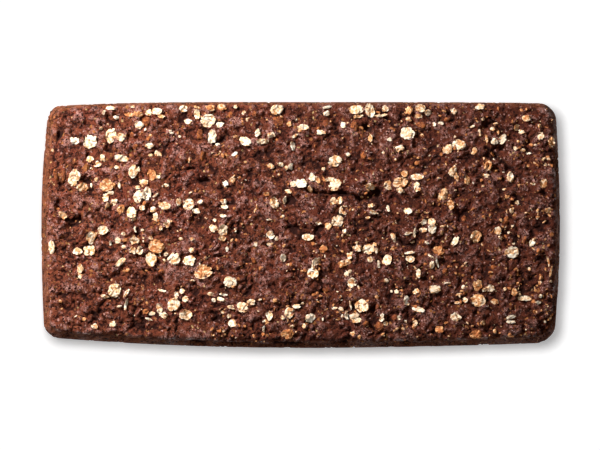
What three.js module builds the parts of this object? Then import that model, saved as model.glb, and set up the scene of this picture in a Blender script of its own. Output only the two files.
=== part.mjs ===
// A tin-baked rye loaf with rolled oat flakes stuck to its top crust.
// Millimetres, +Z up. The origin is the centre of the flat base, +X runs along the loaf and +Y across it.
import * as THREE from "three";
import { mergeVertices } from "three/addons/utils/BufferGeometryUtils.js";

// The loaf. Length and width are over the widest line of the walls, which swell between the corners.
const LOAF_LENGTH = 250;
const LOAF_WIDTH = 118;
const LOAF_HEIGHT = 66;
const CORNER_RADIUS = 10; // of the upright corners, seen from above
const END_SWELL = 2.6; // how far an end wall stands out past its corners
const SIDE_SWELL = 2.4; // how far a long wall stands out past its corners
const WIDEST_HEIGHT = 52; // of the widest line above the base
const TIN_TAPER = 4; // how far the base stands in from the widest line, from the slope of the tin
const RIM_INSET = 1.6; // how far the top crust has shrunk in from the widest line
const SHOULDER_RADIUS = 4; // between the walls and the top
const BASE_RADIUS = 2.5; // between the walls and the base
const CROWN = 2.2; // rise of the top from its rim to its middle
const WAVE_HEIGHT = 0.5; // of the broad unevenness of the top
const WAVE_LENGTH = 64;

// The oat flakes. Each is a thin lens, laid on the crust with a small gap.
const OAT_LENGTH = 6; // of a flake of size 1
const OAT_THICKNESS = 0.9;
const OAT_GAP = 0.3;
const OAT_RAGGEDNESS = 0.09; // how far the outline strays from an ellipse, as a share of its radius

// Facets
const CRUST_STEP = 6.5; // across the top, the base and the walls
const ROUNDING_STEPS = 3; // round the shoulder
const OAT_SIDES = 10;
const OAT_RINGS = 4;

// Each flake's place on the top, as shares of the loaf's half length and half width from its middle,
// then its size, its width as a share of its length, and how far its long axis is turned from +X, in
// degrees. Neighbours are far enough apart for a loaf a sixth smaller or flakes a fifth bigger.
const OAT_FLAKES = [
  [-0.8, 0.675, 1.15, 0.85, 45],
  [-0.72, 0.725, 1.15, 0.75, 70],
  [-0.678, 0.54, 1.05, 0.55, -10],
  [-0.86, 0.383, 1.25, 0.7, 75],
  [-0.737, 0.325, 1.0, 0.95, 20],
  [-0.634, 0.432, 1.05, 0.65, 80],
  [-0.565, 0.403, 0.87, 0.8, 100],
  [-0.617, 0.23, 1.0, 0.75, 75],
  [-0.64, 0.102, 0.85, 0.9, 100],
  [-0.516, 0.154, 0.87, 0.7, 0],
  [-0.751, -0.04, 0.8, 0.85, 10],
  [-0.8, -0.205, 0.95, 0.85, 10],
  [-0.945, -0.18, 1.05, 0.45, 95],
  [-0.545, -0.163, 1.15, 0.95, -20],
  [-0.684, -0.3, 0.9, 0.5, 40],
  [-0.705, -0.53, 1.05, 0.95, 60],
  [-0.482, -0.644, 1.05, 0.85, 65],
  [-0.479, -0.273, 1.0, 0.95, 60],
  [-0.37, -0.38, 1.27, 0.87, 15],
  [-0.266, -0.454, 1.0, 0.8, 5],
  [-0.217, -0.66, 0.9, 0.9, 10],
  [-0.04, -0.705, 0.83, 0.9, 70],
  [-0.047, -0.878, 1.0, 0.8, 10],
  [0.038, -0.75, 0.8, 0.85, 0],
  [-0.35, 0.84, 1.15, 0.9, 20],
  [-0.209, 0.675, 1.0, 0.65, -30],
  [-0.143, 0.675, 0.95, 0.45, 0],
  [-0.088, 0.923, 1.0, 0.8, 10],
  [-0.424, 0.166, 0.87, 0.95, 60],
  [-0.1, 0.18, 0.87, 0.8, 110],
  [0.006, 0.33, 0.9, 0.8, -20],
  [0.214, 0.925, 1.2, 0.6, 0],
  [0.459, 0.935, 0.83, 0.9, 20],
  [0.41, 0.74, 1.1, 0.9, -30],
  [0.133, 0.515, 1.0, 0.85, 10],
  [0.01, 0.788, 0.87, 0.5, 0],
  [0.134, 0.325, 1.0, 0.85, 60],
  [0.143, 0.03, 0.95, 0.95, 30],
  [0.382, 0.347, 1.1, 0.8, 10],
  [0.446, 0.387, 1.0, 0.55, 0],
  [0.605, 0.646, 0.97, 0.85, -20],
  [0.58, 0.43, 0.83, 0.8, 80],
  [0.714, 0.478, 0.83, 0.7, 75],
  [0.545, 0.25, 0.93, 0.75, 70],
  [0.8, 0.386, 0.8, 0.65, 95],
  [0.502, -0.027, 0.77, 0.8, 85],
  [0.032, -0.098, 0.87, 0.6, 0],
  [0.047, -0.39, 0.83, 0.95, 0],
  [0.197, -0.463, 0.77, 0.95, 45],
  [0.26, -0.198, 0.93, 0.85, 10],
  [0.334, -0.285, 0.83, 0.85, 80],
  [0.237, -0.65, 1.07, 0.95, 0],
  [0.67, -0.092, 0.93, 0.9, 60],
  [0.526, -0.21, 0.87, 0.95, 0],
  [0.806, -0.217, 1.03, 0.9, 0],
  [0.68, -0.605, 1.17, 0.85, 10],
  [0.512, -0.517, 0.93, 0.7, 5],
  [0.854, -0.593, 1.13, 0.35, 0],
  [0.672, -0.883, 0.93, 0.75, 10],
];

const crustMaterial = new THREE.MeshStandardMaterial({ color: 0x4e2b1f, roughness: 0.6, metalness: 0 });
const oatMaterial = new THREE.MeshStandardMaterial({ color: 0xe2bf8e, roughness: 0.7, metalness: 0 });

const HALF_LENGTH = LOAF_LENGTH / 2;
const HALF_WIDTH = LOAF_WIDTH / 2;

// The grid lines across half a side: close together round the shoulder, then evenly spaced to the middle.
function gridLines(half) {
  const lines = [];
  for (let i = 0; i <= ROUNDING_STEPS; i++) {
    const turned = ((i / ROUNDING_STEPS) * Math.PI) / 2;
    lines.push(-half + SHOULDER_RADIUS * (1 - Math.cos(turned)));
  }
  const flat = 2 * (half - SHOULDER_RADIUS);
  const steps = Math.round(flat / CRUST_STEP);
  for (let i = 1; i < steps; i++) lines.push(-half + SHOULDER_RADIUS + (i * flat) / steps);
  for (let i = ROUNDING_STEPS; i >= 0; i--) lines.push(-lines[i]);
  return lines;
}

// How far a surface has fallen at this distance in from the edge of its rounding.
function roundingDrop(inset, radius) {
  if (inset >= radius) return 0;
  return radius - Math.sqrt(radius ** 2 - (radius - inset) ** 2);
}

// The height of the top crust before its shoulder: a low crown with broad waves.
function crustHeight(x, y) {
  const fall = CROWN * (0.3 * (x / HALF_LENGTH) ** 4 + 0.7 * (y / HALF_WIDTH) ** 2);
  const turn = (2 * Math.PI) / WAVE_LENGTH;
  const wave = Math.sin(turn * (x + 0.4 * y)) * Math.cos(turn * (y - 0.3 * x));
  return LOAF_HEIGHT - fall + WAVE_HEIGHT * wave;
}

// A point of the square-cornered grid in the loaf's own plan: rounded corners, swelling walls, and the
// whole outline drawn in by inset.
function inPlan(x, y, inset) {
  const point = new THREE.Vector2(Math.abs(x), Math.abs(y));
  const corner = new THREE.Vector2(HALF_LENGTH - CORNER_RADIUS, HALF_WIDTH - CORNER_RADIUS);
  const past = point.clone().sub(corner);
  if (past.x > 0 && past.y > 0) {
    past.multiplyScalar(Math.max(past.x, past.y) / past.length());
    point.copy(corner).add(past);
  }
  const endInset = inset + END_SWELL * (y / HALF_WIDTH) ** 2;
  const sideInset = inset + SIDE_SWELL * (x / HALF_LENGTH) ** 2;
  point.x *= 1 - endInset / HALF_LENGTH;
  point.y *= 1 - sideInset / HALF_WIDTH;
  return new THREE.Vector2(point.x * Math.sign(x), point.y * Math.sign(y));
}

// A point of the top crust, out to where its shoulder meets the walls.
function onTop(x, y) {
  const toEdge = Math.min(HALF_LENGTH - Math.abs(x), HALF_WIDTH - Math.abs(y));
  const plan = inPlan(x, y, RIM_INSET);
  return new THREE.Vector3(plan.x, plan.y, crustHeight(x, y) - roundingDrop(toEdge, SHOULDER_RADIUS));
}

// A point of the base, out to where its rounding meets the walls.
function onBase(x, y) {
  const toEdge = Math.min(HALF_LENGTH - Math.abs(x), HALF_WIDTH - Math.abs(y));
  const plan = inPlan(x, y, TIN_TAPER);
  return new THREE.Vector3(plan.x, plan.y, roundingDrop(toEdge, BASE_RADIUS));
}

// A point of a wall, at a share of the way from the base rounding up to the shoulder.
function onWall(x, y, share) {
  const rim = crustHeight(x, y) - SHOULDER_RADIUS;
  const height = THREE.MathUtils.lerp(BASE_RADIUS, rim, share);
  const below = Math.max(0, (WIDEST_HEIGHT - height) / (WIDEST_HEIGHT - BASE_RADIUS));
  const above = Math.max(0, (height - WIDEST_HEIGHT) / (rim - WIDEST_HEIGHT));
  const plan = inPlan(x, y, TIN_TAPER * below + RIM_INSET * above ** 2);
  return new THREE.Vector3(plan.x, plan.y, height);
}

// One solid for the loaf: a box, its grid lines spaced to suit, with every point moved to its place.
function makeLoaf() {
  const lengthways = gridLines(HALF_LENGTH);
  const crossways = gridLines(HALF_WIDTH);
  const wallSteps = Math.round((LOAF_HEIGHT - SHOULDER_RADIUS - BASE_RADIUS) / CRUST_STEP);
  const columns = lengthways.length - 1;
  const rows = crossways.length - 1;
  const box = new THREE.BoxGeometry(columns, rows, wallSteps, columns, rows, wallSteps);
  const places = box.attributes.position;
  for (let i = 0; i < places.count; i++) {
    const x = lengthways[Math.round(places.getX(i) + columns / 2)];
    const y = crossways[Math.round(places.getY(i) + rows / 2)];
    const level = Math.round(places.getZ(i) + wallSteps / 2);
    let point = onWall(x, y, level / wallSteps);
    if (level === wallSteps) point = onTop(x, y);
    if (level === 0) point = onBase(x, y);
    places.setXYZ(i, point.x, point.y, point.z);
  }
  box.deleteAttribute("normal");
  box.deleteAttribute("uv");
  const geometry = mergeVertices(box, 1e-4);
  geometry.computeVertexNormals();
  const mesh = new THREE.Mesh(geometry, crustMaterial);
  mesh.name = "loaf";
  return mesh;
}

// A rolled oat flake: a flattened ball, thin at its ragged rim. Its number sets how its rim strays.
function makeOatFlake(number, size, slimness) {
  const geometry = new THREE.SphereGeometry(1, OAT_SIDES, OAT_RINGS).rotateX(Math.PI / 2);
  const halfLong = (OAT_LENGTH * size) / 2;
  const places = geometry.attributes.position;
  for (let i = 0; i < places.count; i++) {
    const around = Math.atan2(places.getY(i), places.getX(i));
    const stray = 1 + OAT_RAGGEDNESS * Math.sin(3 * around + number) * Math.cos(2 * around - number);
    places.setXYZ(
      i,
      places.getX(i) * halfLong * stray,
      places.getY(i) * halfLong * slimness * stray,
      (places.getZ(i) * OAT_THICKNESS) / 2,
    );
  }
  geometry.computeVertexNormals();
  const mesh = new THREE.Mesh(geometry, oatMaterial);
  mesh.name = "oat_flake_" + String(number).padStart(2, "0");
  return mesh;
}

// The point of the crust over a place in the plan. The grid point that inPlan moves there lies as far
// out from the place as inPlan would move the place itself inward.
function crustOver(x, y) {
  const moved = inPlan(x, y, RIM_INSET);
  return onTop(2 * x - moved.x, 2 * y - moved.y);
}

// Lays a flake on the crust at shares of the half length and half width, flat against the slope there.
function layOnCrust(flake, along, across, turnDegrees) {
  const x = along * HALF_LENGTH;
  const y = across * HALF_WIDTH;
  const nearby = 0.5;
  const lengthways = crustOver(x + nearby, y).sub(crustOver(x - nearby, y));
  const crossways = crustOver(x, y + nearby).sub(crustOver(x, y - nearby));
  const normal = lengthways.cross(crossways).normalize();
  flake.quaternion.setFromUnitVectors(new THREE.Vector3(0, 0, 1), normal);
  flake.rotateZ(THREE.MathUtils.degToRad(turnDegrees));
  flake.position.copy(crustOver(x, y)).addScaledVector(normal, OAT_GAP + OAT_THICKNESS / 2);
}

const ryeLoaf = new THREE.Group();
ryeLoaf.add(makeLoaf());
OAT_FLAKES.forEach(([along, across, size, slimness, turnDegrees], index) => {
  const flake = makeOatFlake(index + 1, size, slimness);
  layOnCrust(flake, along, across, turnDegrees);
  ryeLoaf.add(flake);
});

export default ryeLoaf;
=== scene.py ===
import math
import random

import bpy
import numpy as np
from mathutils import Matrix, Vector, noise
from mathutils.bvhtree import BVHTree


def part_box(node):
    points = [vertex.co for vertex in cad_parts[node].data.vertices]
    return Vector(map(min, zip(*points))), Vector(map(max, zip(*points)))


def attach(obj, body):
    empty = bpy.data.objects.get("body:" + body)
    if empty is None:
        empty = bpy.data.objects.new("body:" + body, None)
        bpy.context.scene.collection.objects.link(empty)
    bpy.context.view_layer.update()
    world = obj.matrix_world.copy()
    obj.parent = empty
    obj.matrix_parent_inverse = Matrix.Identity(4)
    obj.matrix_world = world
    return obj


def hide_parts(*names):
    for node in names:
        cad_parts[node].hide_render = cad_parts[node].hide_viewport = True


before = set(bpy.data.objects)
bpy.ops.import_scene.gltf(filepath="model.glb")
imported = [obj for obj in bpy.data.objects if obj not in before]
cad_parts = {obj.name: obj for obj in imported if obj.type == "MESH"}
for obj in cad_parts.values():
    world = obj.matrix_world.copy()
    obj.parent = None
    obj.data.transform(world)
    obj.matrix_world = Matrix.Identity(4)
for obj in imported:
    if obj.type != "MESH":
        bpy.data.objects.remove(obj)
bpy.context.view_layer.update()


# The studio: a camera high above the middle of the loaf, looking straight down through a long lens, with
# +X to the right. The loaf lies on a white light table, so the ground around it stays white, and the
# camera sees the table glow more the farther it is from the loaf, so that its rim is as white.
MM = 0.001
CAMERA_HEIGHT = 2.0
VIEW_WIDTH = 287.0 * MM  # at the widest line of the walls
FLOOR_RADIUS = 4.0
FLOOR_GLOW = 0.36
FAR_GLOW_FROM = 0.2
FAR_GLOW_FULL = 1.6
STUDIO_LIGHT = 0.07  # from the dark walls of the studio, against 1 for the white ground
WIDEST_HEIGHT = 53 * MM

loaf_low, loaf_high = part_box("loaf")
camera_data = bpy.data.cameras.new("camera")
camera_data.lens = camera_data.sensor_width * (CAMERA_HEIGHT - WIDEST_HEIGHT) / VIEW_WIDTH
camera = bpy.data.objects.new("camera", camera_data)
camera.location = (0, 0, CAMERA_HEIGHT)
bpy.context.scene.collection.objects.link(camera)
bpy.context.scene.camera = camera
bpy.context.scene.view_settings.view_transform = "Standard"

floor_mesh = bpy.data.meshes.new("floor")
floor_rim = [
    (FLOOR_RADIUS * math.cos(turn), FLOOR_RADIUS * math.sin(turn), 0)
    for turn in np.linspace(0, math.tau, 64, endpoint=False)
]
floor_mesh.from_pydata(floor_rim, [], [range(len(floor_rim))])
floor = bpy.data.objects.new("floor", floor_mesh)
bpy.context.scene.collection.objects.link(floor)

floor_material = bpy.data.materials.new("light_table")
floor_material.use_nodes = True
floor_tree = floor_material.node_tree
light_table = floor_tree.nodes["Principled BSDF"]
light_table.inputs["Base Color"].default_value = (0.86, 0.86, 0.86, 1)
light_table.inputs["Roughness"].default_value = 0.9
light_table.inputs["Specular IOR Level"].default_value = 0.1
light_table.inputs["Emission Color"].default_value = (1, 1, 1, 1)
floor_place = floor_tree.nodes.new("ShaderNodeTexCoord")
from_loaf = floor_tree.nodes.new("ShaderNodeVectorMath")
from_loaf.operation = "LENGTH"
floor_tree.links.new(floor_place.outputs["Object"], from_loaf.inputs[0])
far_glow = floor_tree.nodes.new("ShaderNodeMapRange")
far_glow.inputs["From Min"].default_value = FAR_GLOW_FROM
far_glow.inputs["From Max"].default_value = FAR_GLOW_FULL
floor_tree.links.new(from_loaf.outputs["Value"], far_glow.inputs["Value"])
floor_seen = floor_tree.nodes.new("ShaderNodeLightPath")
seen_glow = floor_tree.nodes.new("ShaderNodeMath")
seen_glow.operation = "MULTIPLY"
floor_tree.links.new(far_glow.outputs["Result"], seen_glow.inputs[0])
floor_tree.links.new(floor_seen.outputs["Is Camera Ray"], seen_glow.inputs[1])
glow = floor_tree.nodes.new("ShaderNodeMath")
glow.operation = "ADD"
glow.inputs[1].default_value = FLOOR_GLOW
floor_tree.links.new(seen_glow.outputs[0], glow.inputs[0])
floor_tree.links.new(glow.outputs[0], light_table.inputs["Emission Strength"])
floor_mesh.materials.append(floor_material)

world = bpy.data.worlds.new("studio")
world.use_nodes = True
backdrop = world.node_tree.nodes["Background"]
backdrop.inputs["Color"].default_value = (1, 1, 1, 1)
seen = world.node_tree.nodes.new("ShaderNodeLightPath")
strength = world.node_tree.nodes.new("ShaderNodeMapRange")
strength.inputs["To Min"].default_value = STUDIO_LIGHT
world.node_tree.links.new(seen.outputs["Is Camera Ray"], strength.inputs["Value"])
world.node_tree.links.new(strength.outputs["Result"], backdrop.inputs["Strength"])
bpy.context.scene.world = world


def add_light(name, place, size, watts):
    """A square soft light at a place, turned to the middle of the loaf."""
    light_data = bpy.data.lights.new(name, "AREA")
    light_data.size = size
    light_data.energy = watts
    light = bpy.data.objects.new(name, light_data)
    light.location = place
    light.rotation_euler = (-Vector(place)).to_track_quat("-Z", "Y").to_euler()
    bpy.context.scene.collection.objects.link(light)
    return light


# The overhead light is for the table, where it casts the loaf's narrow shadow, and the others for the loaf.
overhead_light = add_light("overhead_light", (-0.062, 0.070, 1.5), 0.17, 17.0)
key_light = add_light("key_light", (-0.47, 0.42, 0.41), 0.06, 13.6)
top_light = add_light("top_light", (-0.20, 0.10, 0.9), 0.30, 2.3)
top_light.visible_glossy = False  # seen in the glaze, it would veil the dark crust with grey
table_lit = bpy.data.collections.new("lit_by_overhead_light")
table_lit.objects.link(floor)
overhead_light.light_linking.receiver_collection = table_lit
loaf_lit = bpy.data.collections.new("lit_by_loaf_lights")
key_light.light_linking.receiver_collection = loaf_lit
top_light.light_linking.receiver_collection = loaf_lit


# The loaf is one piece of dark rye dough, risen and baked in a tin. Its walls and base took the tin's
# flat faces, with pits where the dough didn't reach. Its top baked free, into knobs with creases between.
CORNER_RADII = {(-1, 1): 5.5 * MM, (1, 1): 8 * MM, (1, -1): 8.5 * MM, (-1, -1): 7 * MM}
END_INSETS = {-1: 1.0 * MM, 1: 0.4 * MM}
END_SWELLS = {(-1, 1): 3.7 * MM, (1, 1): 2.4 * MM, (1, -1): 3.0 * MM, (-1, -1): 1.6 * MM}
SIDE_SWELLS = {(-1, 1): 2.2 * MM, (1, 1): 0.7 * MM, (1, -1): 2.7 * MM, (-1, -1): 5.2 * MM}
END_RIM_INSETS = {-1: 2.8 * MM, 1: 2.0 * MM}
SIDE_RIM_INSETS = {-1: 2.8 * MM, 1: 0.8 * MM}
TIN_TAPER = 4 * MM
SHOULDER_RADIUS = 3.4 * MM
BASE_RADIUS = 2.5 * MM
CROWN = 2.2 * MM
WAVE_HEIGHT = 0.5 * MM
WAVE_LENGTH = 64 * MM
COLUMNS = 345
ROWS = 162
WALL_ROWS = 32
SHOULDER_STEPS = 5
BASE_STRIDE = 3  # the base needs only every third grid line

half_length = (loaf_high[0] - loaf_low[0]) / 2
half_width = (loaf_high[1] - loaf_low[1]) / 2
top_height = loaf_high[2] - WAVE_HEIGHT


def grid_lines(half, count):
    """The grid lines across the loaf: close together round its shoulders and even between them."""
    turned = np.linspace(0, math.pi / 2, SHOULDER_STEPS + 1)
    shoulder = half - SHOULDER_RADIUS * (1 - np.cos(turned))
    middle = np.linspace(-shoulder[-1], shoulder[-1], count - 2 * SHOULDER_STEPS + 1)
    return np.concatenate([-shoulder[:-1], middle, shoulder[:-1][::-1]])


def by_sign(values, coordinate):
    """The value for the negative or the positive side of each coordinate."""
    return np.where(coordinate < 0, values[-1], values[1])


def by_corner(values, x, y):
    """The value for the corner nearest each point."""
    left = np.where(y < 0, values[-1, -1], values[-1, 1])
    right = np.where(y < 0, values[1, -1], values[1, 1])
    return np.where(x < 0, left, right)


def in_plan(x, y, inset):
    """Moves grid points into the loaf's own plan: rounded corners, swelling walls, all drawn in by inset."""
    radius = by_corner(CORNER_RADII, x, y)
    past_x = np.maximum(np.abs(x) - (half_length - radius), 0)
    past_y = np.maximum(np.abs(y) - (half_width - radius), 0)
    reach = np.maximum(np.hypot(past_x, past_y), 1e-9)
    in_corner = (past_x > 0) & (past_y > 0)
    kept = np.where(in_corner, np.maximum(past_x, past_y) / reach, 1)
    plan_x = np.abs(x) - past_x * (1 - kept)
    plan_y = np.abs(y) - past_y * (1 - kept)
    end_inset = inset + by_sign(END_INSETS, x) + by_corner(END_SWELLS, x, y) * (y / half_width) ** 2
    towards_end = np.where(y < 0, (x / half_length) ** 2, (x / half_length) ** 4)
    side_inset = inset + by_corner(SIDE_SWELLS, x, y) * towards_end
    plan_x = plan_x * (1 - end_inset / half_length)
    plan_y = plan_y * (1 - side_inset / half_width)
    return np.sign(x) * plan_x, np.sign(y) * plan_y


def rim_inset(x, y):
    """How far the top crust has shrunk in from the widest line, on the side that is nearest."""
    to_end = half_length - np.abs(x)
    to_side = half_width - np.abs(y)
    share = np.clip(0.5 + (to_side - to_end) / (30 * MM), 0, 1)
    return share * by_sign(END_RIM_INSETS, x) + (1 - share) * by_sign(SIDE_RIM_INSETS, y)


def crust_height(x, y):
    """The height of the top before its shoulder: a low crown with broad waves."""
    fall = CROWN * (0.3 * (x / half_length) ** 4 + 0.7 * (y / half_width) ** 2)
    turn = math.tau / WAVE_LENGTH
    wave = np.sin(turn * (x + 0.4 * y)) * np.cos(turn * (y - 0.3 * x))
    return top_height - fall + WAVE_HEIGHT * wave


def rounding_drop(x, y, radius):
    """How far a face has fallen from its level, near an edge with this radius."""
    to_edge = np.minimum(half_length - np.abs(x), half_width - np.abs(y))
    inside = np.maximum(radius - to_edge, 0)
    return radius - np.sqrt(radius**2 - inside**2)


columns_x = grid_lines(half_length, COLUMNS)
rows_y = grid_lines(half_width, ROWS)
edge_cells = (
    [(i, 0) for i in range(COLUMNS)]
    + [(COLUMNS, j) for j in range(ROWS)]
    + [(i, ROWS) for i in range(COLUMNS, 0, -1)]
    + [(0, j) for j in range(ROWS, 0, -1)]
)
round_loaf = len(edge_cells)

# The top, then the rings down the walls, then the inner points of the base.
grid_x, grid_y = np.meshgrid(columns_x, rows_y)
plan_x, plan_y = in_plan(grid_x, grid_y, rim_inset(grid_x, grid_y))
top_z = crust_height(grid_x, grid_y) - rounding_drop(grid_x, grid_y, SHOULDER_RADIUS)
blocks = [np.stack([plan_x, plan_y, top_z], axis=-1).reshape(-1, 3)]
edge_x = np.array([columns_x[i] for i, j in edge_cells])
edge_y = np.array([rows_y[j] for i, j in edge_cells])
rim_z = crust_height(edge_x, edge_y) - SHOULDER_RADIUS
for row in range(1, WALL_ROWS + 1):
    z = BASE_RADIUS + (rim_z - BASE_RADIUS) * (1 - row / WALL_ROWS)
    below = np.clip((WIDEST_HEIGHT - z) / (WIDEST_HEIGHT - BASE_RADIUS), 0, 1)
    above = np.clip((z - WIDEST_HEIGHT) / (rim_z - WIDEST_HEIGHT), 0, 1)
    inset = TIN_TAPER * below + rim_inset(edge_x, edge_y) * above**1.5
    wall_x, wall_y = in_plan(edge_x, edge_y, inset)
    blocks.append(np.stack([wall_x, wall_y, z], axis=-1))
base_lines = [
    (i, j)
    for j in range(BASE_STRIDE, ROWS, BASE_STRIDE)
    for i in range(BASE_STRIDE, COLUMNS, BASE_STRIDE)
]
inner_x = np.array([columns_x[i] for i, j in base_lines])
inner_y = np.array([rows_y[j] for i, j in base_lines])
base_x, base_y = in_plan(inner_x, inner_y, TIN_TAPER)
blocks.append(np.stack([base_x, base_y, rounding_drop(inner_x, inner_y, BASE_RADIUS)], axis=-1))
crust_points = np.concatenate(blocks)

faces = []
for j in range(ROWS):
    for i in range(COLUMNS):
        corner = j * (COLUMNS + 1) + i
        faces.append((corner, corner + 1, corner + COLUMNS + 2, corner + COLUMNS + 1))
top_count = (COLUMNS + 1) * (ROWS + 1)
rings = [[j * (COLUMNS + 1) + i for i, j in edge_cells]]
for row in range(WALL_ROWS):
    rings.append([top_count + row * round_loaf + step for step in range(round_loaf)])
for upper, lower in zip(rings, rings[1:]):
    for step in range(round_loaf):
        after = (step + 1) % round_loaf
        faces.append((upper[after], upper[step], lower[step], lower[after]))
on_base = {cell: rings[-1][step] for step, cell in enumerate(edge_cells)}
for step, cell in enumerate(base_lines):
    on_base[cell] = top_count + WALL_ROWS * round_loaf + step
for j in range(0, ROWS, BASE_STRIDE):
    for i in range(0, COLUMNS, BASE_STRIDE):
        far_i, far_j = i + BASE_STRIDE, j + BASE_STRIDE
        around = (
            [(i, step) for step in range(j, far_j)]
            + [(step, far_j) for step in range(i, far_i)]
            + [(far_i, step) for step in range(far_j, j, -1)]
            + [(step, j) for step in range(far_i, i, -1)]
        )
        faces.append([on_base[cell] for cell in around if cell in on_base])

crust_mesh = bpy.data.meshes.new("crust")
crust_mesh.from_pydata(crust_points, [], faces)
crust_normals = np.empty((len(crust_points), 3))
crust_mesh.vertex_normals.foreach_get("vector", crust_normals.ravel())

# Knobs of dough, from broad to fine: their size, and how far they stand out, in millimetres.
KNOBS = [(11, 0.32), (4.6, 0.76), (2.5, 0.68)]
WRINKLES = 0.6
SMALL_KNOB = 6  # up to this size they count as small: the painted sheen and the glaze lie on those
TIN_PRESS = 0.62  # how far the tin pressed the knobs of the walls and base flat, in millimetres
noise.seed_set(4)  # the same knobs each time


def knobbly(place):
    """How far the dough stands out at a place, in mm, and how much of that is small knobs and creases."""
    strayed = place + noise.turbulence_vector(place / 9, 2, False) * 2.4
    broad = 0.45 * noise.noise(place / 26)
    small = WRINKLES * (0.3 - noise.turbulence(strayed / 3.1, 3, True)) + 0.22 * noise.noise(strayed / 1.5)
    open_share = min(1, max(0.1, 0.45 + 1.6 * noise.noise(place / 8)))
    for size, tall in KNOBS:
        distances, centres = noise.voronoi(strayed / size)
        knob = 0.55 - distances[0] ** 2 + 0.7 * (noise.cell(centres[0] * 7.3) - 0.5)
        crease = 1 - min(1, (distances[1] - distances[0]) * 4)
        if size > SMALL_KNOB:
            broad += tall * 0.8 * knob
            small -= tall * 0.6 * open_share * crease
        else:
            small += tall * (0.8 * knob - 0.8 * open_share * crease)
    return broad + small, small


# Cracks and hollows of the top: the points that each runs through, in millimetres from the middle of the
# loaf, then its half width and its depth.
CRACKS = [
    ([(-56, 26), (-53, 27), (-50, 27)], 0.9, 1.8),
    ([(-46.5, 21.5), (-44.5, 21)], 1.7, 2.4),
    ([(4, 16.6), (9, 15.4), (14, 15.2), (20, 15.6), (25, 15), (29, 12.5)], 0.8, 2.6),
    ([(30, 12.5), (33, 14), (37, 16)], 1.9, 3.0),
    ([(30.9, 47), (31, 46.2)], 1.8, 2.4),
    ([(91, 34.5), (96, 31.5), (99, 28.5), (102, 26)], 0.9, 2.0),
    ([(94, 37), (95.5, 36.4)], 2.0, 1.9),
    ([(47, -6), (50, -8), (53, -10)], 2.0, 2.2),
    ([(-117, 31), (-116.2, 29)], 1.9, 2.2),
    ([(-115, 10), (-115, 8)], 1.8, 1.8),
    ([(-113.5, 19), (-112.8, 17)], 1.3, 1.8),
    ([(-110, -1), (-106, 2), (-104, 3)], 1.5, 1.5),
    ([(116, -47), (117.5, -49)], 2.0, 2.0),
    ([(-75, -26), (-55, -30), (-30, -31), (-2, -27)], 3.4, 1.0),
    ([(-112, -40), (-90, -46), (-70, -48.5)], 3.2, 0.9),
    ([(-20, 3), (-6, -1), (8, -3)], 2.4, 1.0),
    ([(60, 10), (78, 4), (92, 7)], 2.6, 1.0),
    ([(-60, 49), (-57, 42), (-58, 34)], 1.8, 1.2),
    ([(15, 52), (21, 41), (20, 34)], 2.2, 1.2),
    ([(104, 48), (100, 41), (88, 47)], 1.6, 1.2),
]
# Where the rim has torn from the tin's side: the middle of each tear, as a direction to the side and a
# place along it in millimetres, with half its length and its depth.
TEARS = [
    ("right", 25, 7, 3.4),
    ("right", 2, 9, 2.6),
    ("right", -14, 5, 1.6),
    ("right", -38, 9, 3.6),
    ("left", -6, 10, 1.3),
    ("left", 25, 8, 0.8),
    ("front", -49, 7, 3.6),
    ("front", -30, 12, 2.4),
    ("front", -5, 16, 3.2),
    ("front", 18, 9, 3.6),
    ("front", 52, 15, 2.6),
    ("front", 77, 8, 2.2),
    ("front", -84, 10, 1.2),
    ("back", -30, 12, 0.8),
    ("back", 60, 10, 0.8),
]
THIN_CRACK = 1.3  # under this half width a crack is painted near-black inside, as shade
TEAR_HEIGHT = 58.2 * MM
TEAR_HALF_HEIGHT = 2.1 * MM


def carve(x, y, points, half_width_mm, depth):
    """How deep a crack cuts at places of the top, in mm: deepest along its line, with soft shoulders."""
    nearest = np.full(x.shape, np.inf)
    for (ax, ay), (bx, by) in zip(points, points[1:]):
        run_x, run_y = bx - ax, by - ay
        along = ((x - ax) * run_x + (y - ay) * run_y) / (run_x**2 + run_y**2)
        along = np.clip(along, 0, 1)
        nearest = np.minimum(nearest, np.hypot(x - ax - along * run_x, y - ay - along * run_y))
    return depth * np.exp(-((nearest / half_width_mm) ** 2) * 1.2)


places_mm = crust_points / MM
knob_relief, small_relief = np.array([knobbly(Vector(place)) for place in places_mm]).T
jitter = np.array([noise.noise_vector(Vector(place) / 3.5) for place in places_mm])
upward = np.clip((crust_normals[:, 2] - 0.35) / 0.45, 0, 1)
wall_share = 1 - upward
pressed = np.minimum(knob_relief * 0.9 + TIN_PRESS, 0) - 0.06 * (1 + jitter[:, 0])
relief = upward * knob_relief + wall_share * pressed
crack_x = places_mm[:, 0] + 1.1 * jitter[:, 0]
crack_y = places_mm[:, 1] + 1.1 * jitter[:, 1]
hollow = np.zeros(len(crust_points))
for points, crack_half_width, depth in CRACKS:
    cut = upward * carve(crack_x, crack_y, points, crack_half_width, depth)
    relief -= cut
    hollow += cut * (0.6 if crack_half_width < THIN_CRACK else 0.3)

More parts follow.
